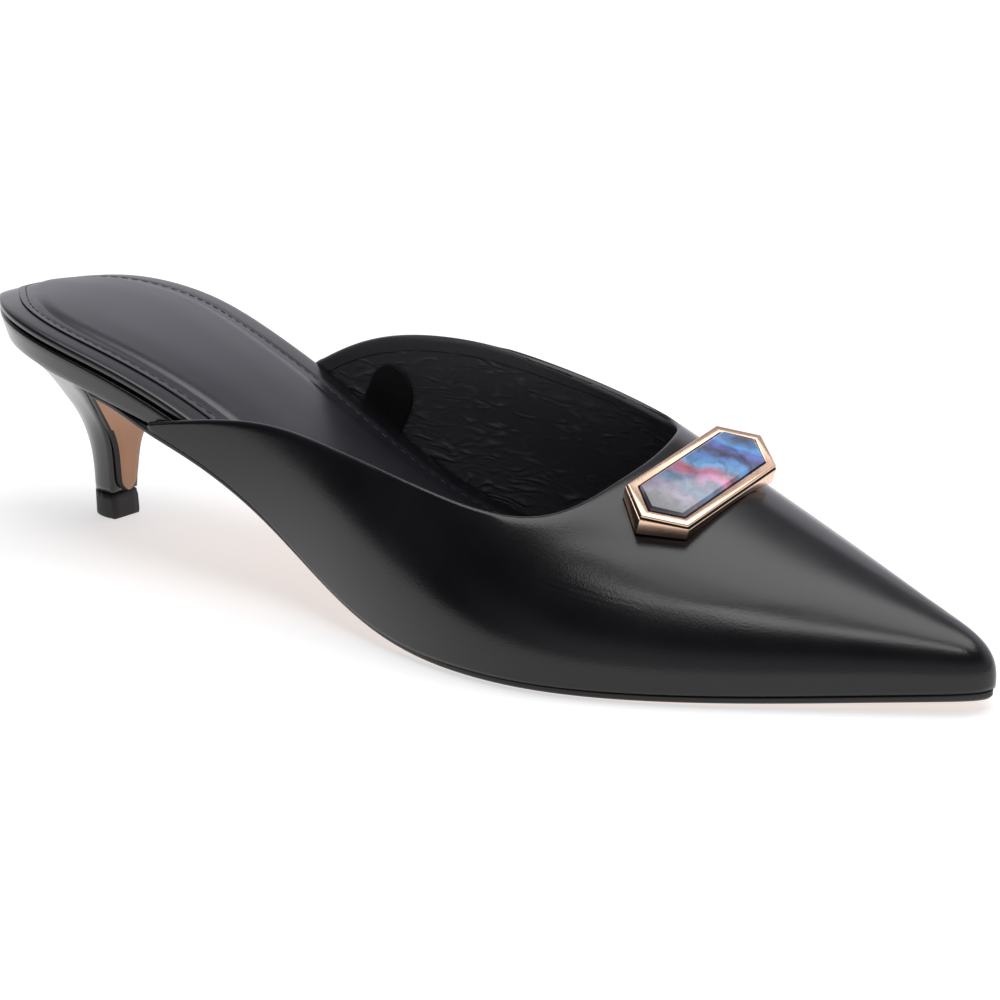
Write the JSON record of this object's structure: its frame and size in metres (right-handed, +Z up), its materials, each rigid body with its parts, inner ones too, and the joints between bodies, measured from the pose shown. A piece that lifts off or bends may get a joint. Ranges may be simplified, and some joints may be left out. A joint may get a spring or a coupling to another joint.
{
  "type": "kitten heel mule",
  "caption": "Pointed closed-toe backless mule with a slim low heel and a long hexagonal ornament across the vamp; right shoe.",
  "frame": {"origin": "centre of the heel tip's bearing face, on the floor", "axes": "+X to the toe, +Y to the inner (medial) side, +Z up; the shoe stands on z = 0"},
  "size_m": [0.2521, 0.0814, 0.0544],
  "materials": {
    "outsole": "tan leather sole and breast tongue, blacked edge",
    "insole": "smooth black leather cover",
    "footbed": "smooth black leather, rolled edge",
    "sock": "soft padded black leather",
    "upper": "fine-grained black nappa, satin",
    "heel": "smooth black leather cover, satin",
    "heel_tip": "black rubber",
    "ornament_frame": "polished rose-gold plating",
    "ornament_stone": "polished iridescent grey stone"
  },
  "bodies": {
    "root": {"outsole": "outsole", "insole": "insole", "footbed": "footbed", "sock": "sock", "upper": "upper", "heel": "heel", "heel_tip": "heel_tip", "ornament_frame": "ornament_frame", "ornament_stone": "ornament_stone"}
  },
  "joints": []
}
